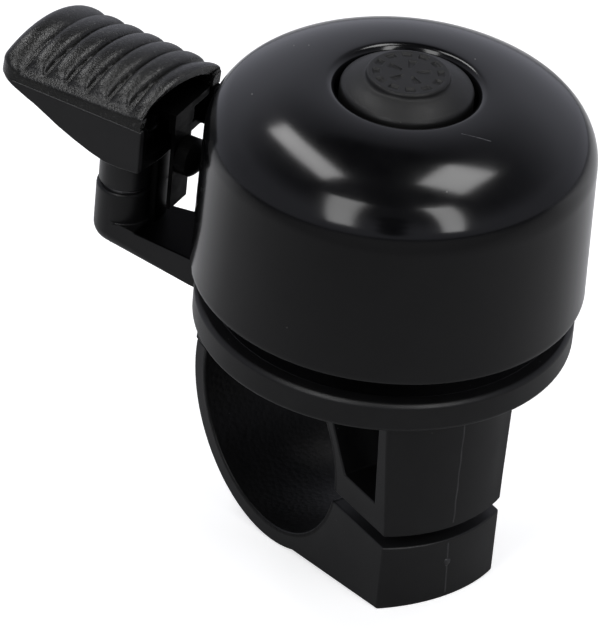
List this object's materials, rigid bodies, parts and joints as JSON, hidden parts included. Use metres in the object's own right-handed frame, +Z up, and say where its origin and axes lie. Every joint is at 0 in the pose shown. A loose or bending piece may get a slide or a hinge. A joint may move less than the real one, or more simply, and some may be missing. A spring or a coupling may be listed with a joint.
{
  "type": "bicycle bell",
  "caption": "Handlebar bell with a gong dome, centre cap, sprung thumb lever with a striking hammer, and a screw-tightened bar clamp.",
  "frame": {"origin": "centre of the handlebar bore, midway along the clamp", "axes": "+Y along the handlebar, +Z up along the gong's axis, +X towards the clamp lug and its screw; the thumb lever is on the -X, -Y side"},
  "size_m": [0.0531, 0.0428, 0.0546],
  "materials": {
    "dome_paint": "high-gloss black enamel",
    "body_plastic": "satin moulded black",
    "cap_plastic": "fine matte black",
    "lever_plastic": "satin moulded black",
    "pad_plastic": "fine-grained black",
    "cushion_rubber": "matte",
    "bush_plastic": "natural acetal",
    "brass": "machined",
    "steel": "zinc-plated"
  },
  "bodies": {
    "bell": {"base_plate": "body_plastic", "gong_dome": "dome_paint", "lower_cushion": "cushion_rubber", "upper_cushion": "cushion_rubber", "dome_washer": "steel", "dome_screw": "steel", "post_insert": "brass", "dome_cap": "cap_plastic", "pivot_bush": "bush_plastic", "pivot_washer": "steel"},
    "lever": {"lever_body": "lever_plastic", "thumb_pad": "pad_plastic", "pivot_pin": "steel", "pivot_clip": "steel", "lever_spring": "steel", "hammer_bracket": "steel", "bracket_rivet": "steel"},
    "hammer": {"hammer_leaf": "steel", "hammer_head": "steel"},
    "strap": {"clamp_strap": "body_plastic"},
    "screw_carrier": {"clamp_washer": "steel"},
    "screw": {"clamp_screw": "steel"}
  },
  "joints": [
    {"name": "lever_swing", "type": "hinge", "parent": "bell", "child": "lever", "pos_m": [-0.0164, -0.01395, 0.025], "axis": [0, 0, 1], "range_deg": [0, 35], "stiffness_Nm_per_rad": 0.012, "springref_deg": -20.05},
    {"name": "hammer_flex", "type": "hinge", "parent": "lever", "child": "hammer", "pos_m": [-0.01177, -0.01125, 0.02815], "axis": [0.454, -0.891, 0], "range_deg": [-2, 11.5], "stiffness_Nm_per_rad": 0.0004},
    {"name": "strap_close", "type": "hinge", "parent": "bell", "child": "strap", "pos_m": [-0.01192, 0, 0.0016], "axis": [0, 1, 0], "range_deg": [-2.05, 2.45]},
    {"name": "clamp_screw_travel", "type": "slide", "parent": "bell", "child": "screw_carrier", "axis": [0, 0, 1], "range_m": [-0.00114, 0.00095]},
    {"name": "clamp_screw_turn", "type": "hinge", "parent": "screw_carrier", "child": "screw", "pos_m": [0.0154, 0, 0], "axis": [0, 0, 1], "range_deg": [-257, 214]}
  ],
  "couplings": [
    {"joint": "clamp_screw_turn", "follows": "clamp_screw_travel", "rad_per_m": 3927},
    {"joint": "strap_close", "follows": "clamp_screw_travel", "rad_per_m": -36.606}
  ]
}
